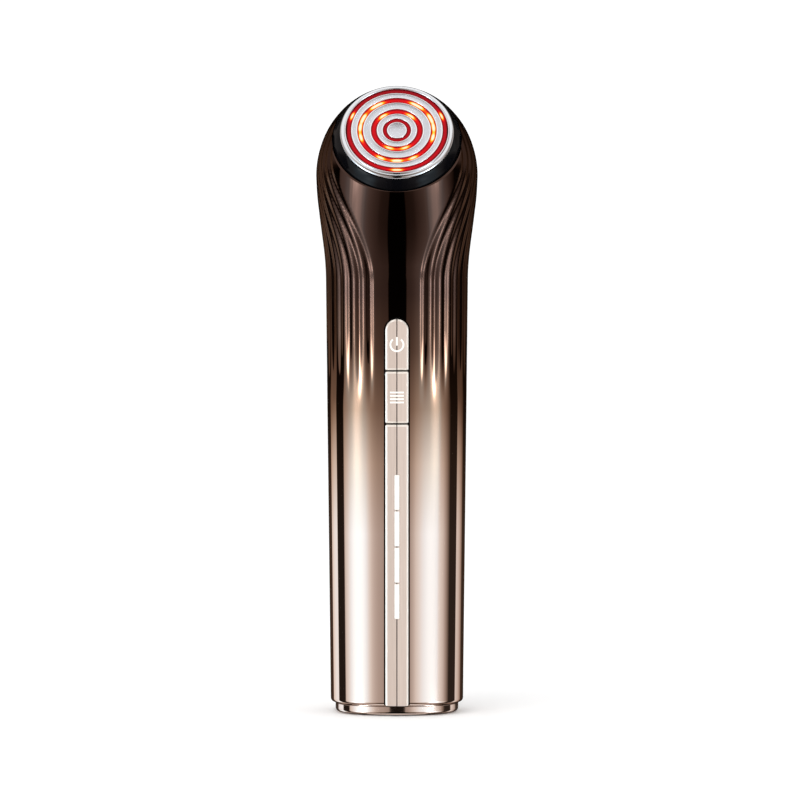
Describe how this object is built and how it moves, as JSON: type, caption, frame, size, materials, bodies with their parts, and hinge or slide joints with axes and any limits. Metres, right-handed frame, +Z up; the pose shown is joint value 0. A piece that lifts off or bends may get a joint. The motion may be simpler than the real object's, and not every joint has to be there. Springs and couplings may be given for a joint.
{
  "type": "facial care wand",
  "caption": "Hand-held facial care wand: a long oval grip that widens into a domed head with a tilted round face of ring electrodes and red light, push keys and level lights on the front.",
  "frame": {"origin": "centre of the base pad's underside, which the wand stands on", "axes": "+Z up along the grip towards the head; the keys, the strip and the tilted face look towards -Y; +X to the viewer's right"},
  "size_m": [0.0516, 0.0505, 0.2],
  "materials": {
    "casing": "vacuum-metallised gloss, fading from dark brown at the head to champagne at the base",
    "champagne_trim": "metallised champagne gloss",
    "diffuser": "milky light diffuser",
    "black_gloss": "high gloss moulding",
    "chrome_trim": "mirror plated",
    "red_lens": "clear red, lit from behind",
    "electrode": "satin plated",
    "nylon": "as moulded",
    "circuit_board": "solder mask",
    "black_package": "moulded package",
    "winding": "enamelled wire",
    "battery_sleeve": "shrink sleeve",
    "rubber": "matte",
    "red_wire": "insulation",
    "black_wire": "insulation",
    "ribbon_film": "flexible film",
    "gold_contact": "gold plated",
    "screw_steel": "zinc plated"
  },
  "bodies": {
    "casing": {"front_shell": "casing", "rear_shell": "casing", "base_cap": "champagne_trim", "indicator_strip": "champagne_trim", "level_window_1": "diffuser", "level_window_2": "diffuser", "level_window_3": "diffuser", "level_window_4": "diffuser", "head_collar": "black_gloss", "head_bezel": "chrome_trim", "light_lens": "red_lens", "centre_electrode": "electrode", "ring_electrode_inner": "electrode", "ring_electrode_middle": "electrode", "ring_electrode_outer": "electrode", "head_carrier": "nylon", "inner_frame": "nylon", "led_board": "circuit_board", "main_board": "circuit_board", "controller_chip": "black_package", "buzzer": "black_package", "power_switch": "black_package", "level_switch": "black_package", "rf_transformer": "winding", "indicator_led_1": "diffuser", "indicator_led_2": "diffuser", "indicator_led_3": "diffuser", "indicator_led_4": "diffuser", "battery": "battery_sleeve", "battery_strap": "rubber", "base_pad": "rubber", "base_gasket": "rubber", "collar_gasket": "rubber", "battery_lead_positive": "red_wire", "charge_lead_right": "red_wire", "battery_lead_negative": "black_wire", "charge_lead_left": "black_wire", "head_ribbon": "ribbon_film", "charge_contact_left": "gold_contact", "charge_contact_right": "gold_contact", "base_screw_left": "screw_steel", "base_screw_right": "screw_steel", "board_screw_1": "screw_steel", "board_screw_2": "screw_steel", "board_screw_3": "screw_steel", "board_screw_4": "screw_steel", "carrier_screw_1": "screw_steel", "carrier_screw_2": "screw_steel", "carrier_screw_3": "screw_steel"},
    "power_key": {"power_button": "champagne_trim", "power_switch_stem": "nylon"},
    "level_key": {"level_button": "champagne_trim", "level_switch_stem": "nylon"}
  },
  "joints": [
    {"name": "power_press", "type": "slide", "parent": "casing", "child": "power_key", "axis": [0, 1, 0], "range_m": [0, 0.0005], "stiffness_N_per_m": 2500, "springref_m": -0.0002},
    {"name": "level_press", "type": "slide", "parent": "casing", "child": "level_key", "axis": [0, 1, 0], "range_m": [0, 0.0005], "stiffness_N_per_m": 2500, "springref_m": -0.0002}
  ]
}
